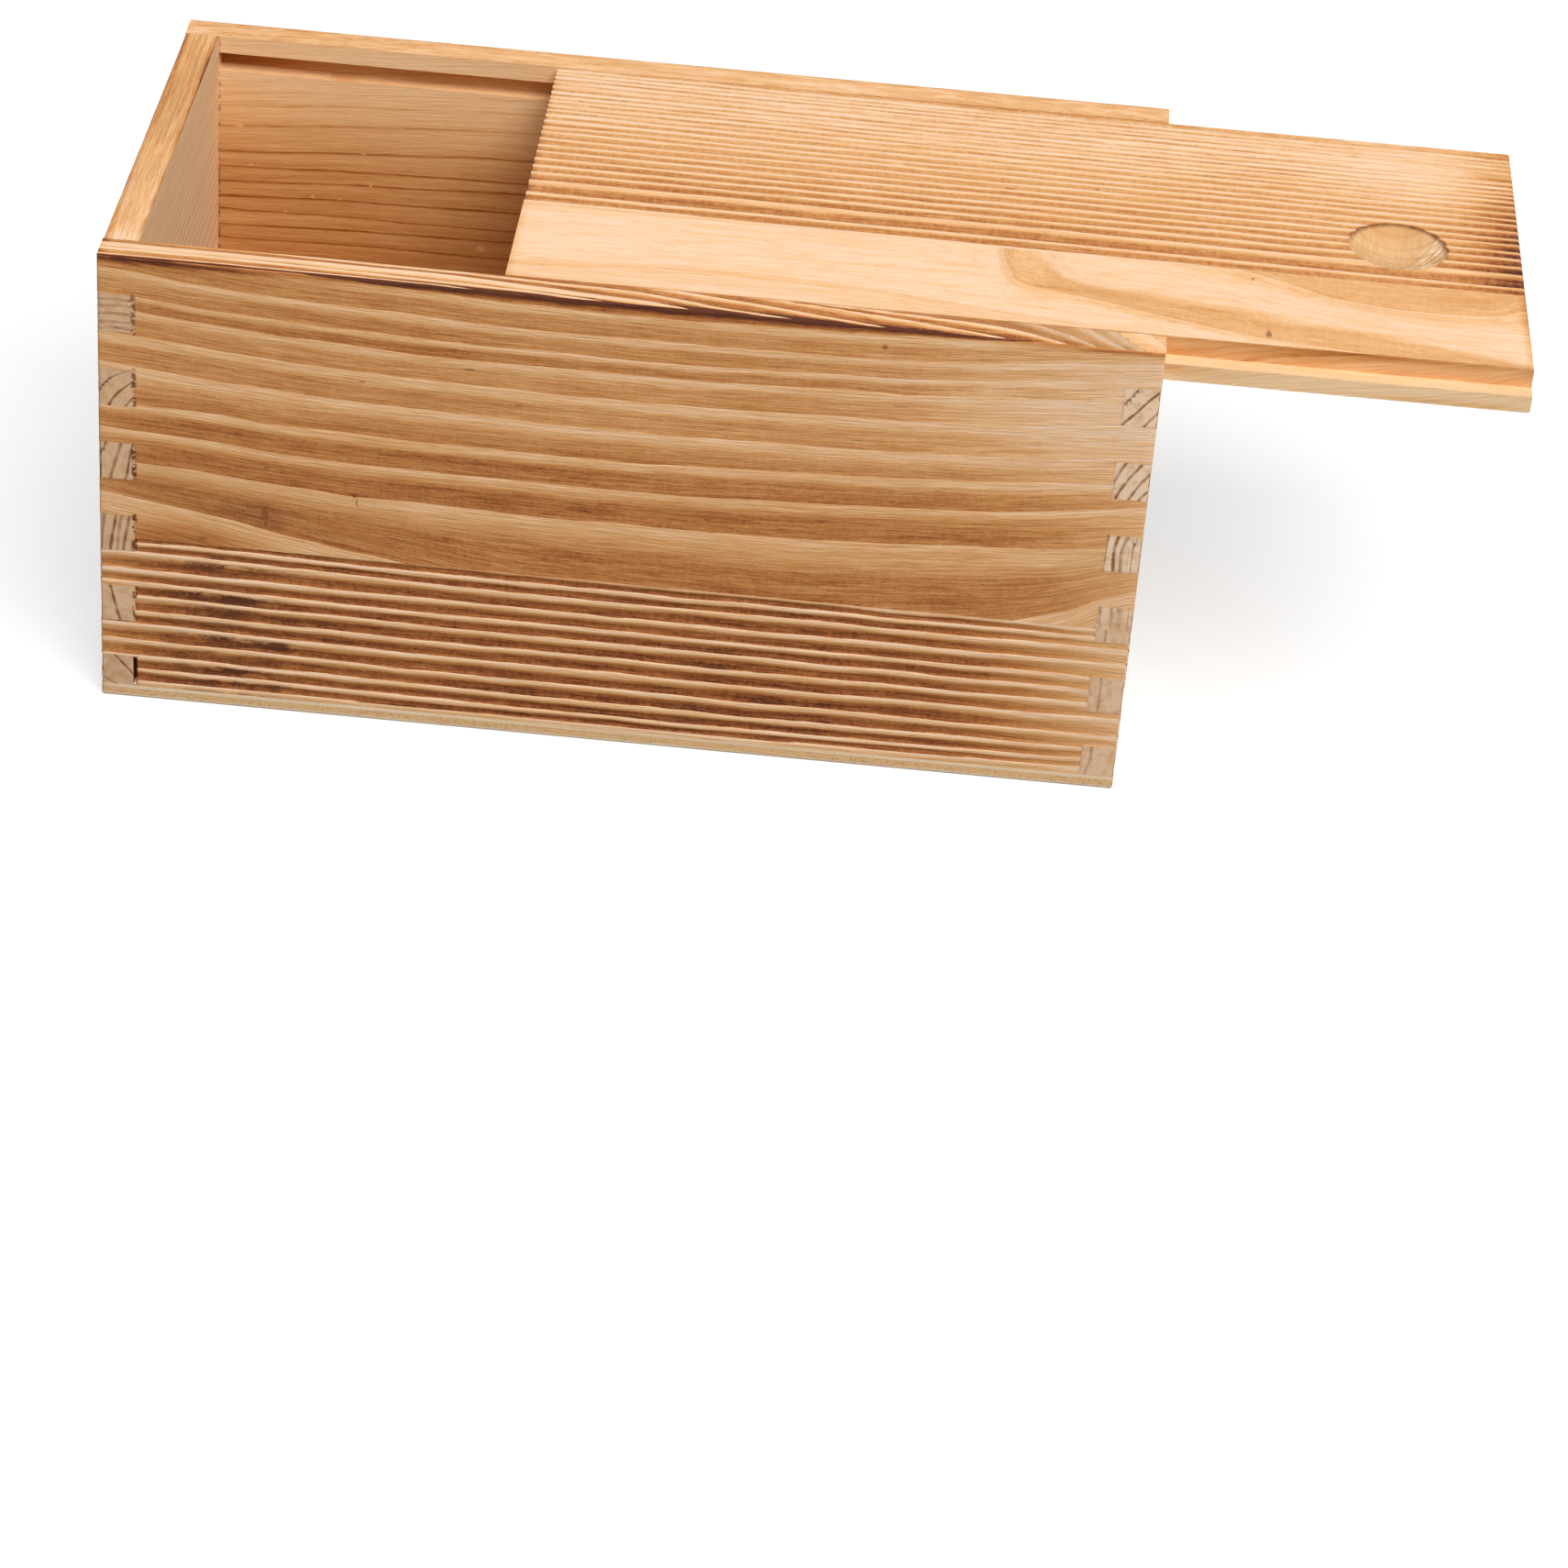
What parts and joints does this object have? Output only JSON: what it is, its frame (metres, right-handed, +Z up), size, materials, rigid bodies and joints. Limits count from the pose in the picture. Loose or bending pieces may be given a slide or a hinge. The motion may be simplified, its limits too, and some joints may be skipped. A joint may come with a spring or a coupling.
{
  "type": "wooden jewelry box",
  "caption": "Finger-jointed flamed pine box with a grooved sliding lid and a thumb recess, drawn with the lid part way open.",
  "frame": {"origin": "middle of the underside of the case, on the surface that the box stands on", "axes": "+X along the box towards its open end, the way the lid slides out; +Y to the back; +Z up"},
  "size_m": [0.336, 0.13, 0.122],
  "materials": {
    "flamed_pine": "flamed and brushed, unvarnished",
    "plywood": "raw sawn plywood"
  },
  "bodies": {
    "case": {"front_wall_upper_board": "flamed_pine", "front_wall_lower_board": "flamed_pine", "back_wall_upper_board": "flamed_pine", "back_wall_lower_board": "flamed_pine", "closed_end_upper_board": "flamed_pine", "closed_end_lower_board": "flamed_pine", "open_end_upper_board": "flamed_pine", "open_end_lower_board": "flamed_pine", "base": "plywood"},
    "lid": {"lid_front_board": "flamed_pine", "lid_rear_board": "flamed_pine"}
  },
  "joints": [
    {"name": "lid_slide", "type": "slide", "parent": "case", "child": "lid", "axis": [1, 0, 0], "range_m": [-0.086, 0.1552]}
  ]
}
